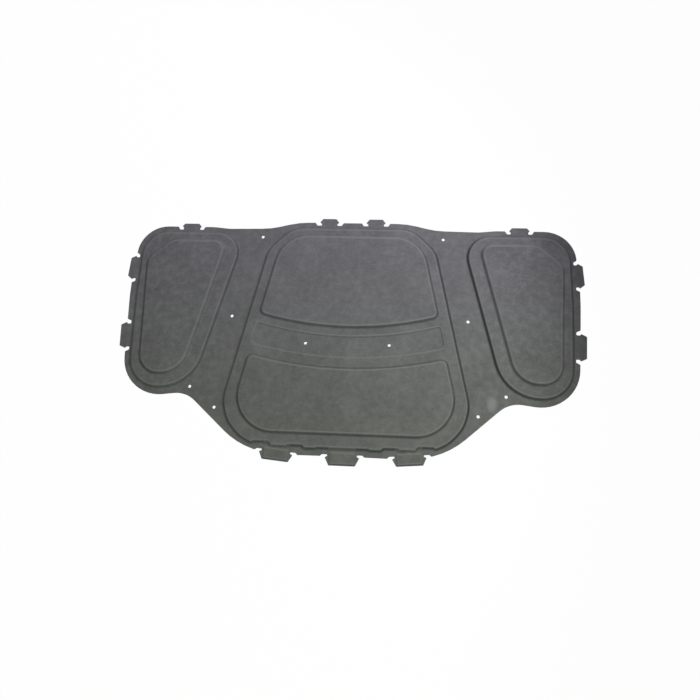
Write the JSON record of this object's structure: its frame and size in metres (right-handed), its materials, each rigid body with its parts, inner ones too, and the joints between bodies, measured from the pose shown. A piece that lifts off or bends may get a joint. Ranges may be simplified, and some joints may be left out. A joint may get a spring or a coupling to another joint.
{
  "type": "hood insulation pad",
  "caption": "Moulded felt pad that lies under a car bonnet, with raised panels, pressed channels, clip holes and dovetail tabs round its edge.",
  "frame": {"origin": "middle of the flat back, half way between the side tabs and between the lowest and the highest tab tips", "axes": "+X across the width, +Y towards the edge that lies nearest the windscreen, +Z out of the visible side"},
  "size_m": [1.4006, 0.7556, 0.0186],
  "materials": {
    "felt": "matte charcoal needled felt"
  },
  "bodies": {
    "root": {"hood_insulation_pad": "felt"}
  },
  "joints": []
}
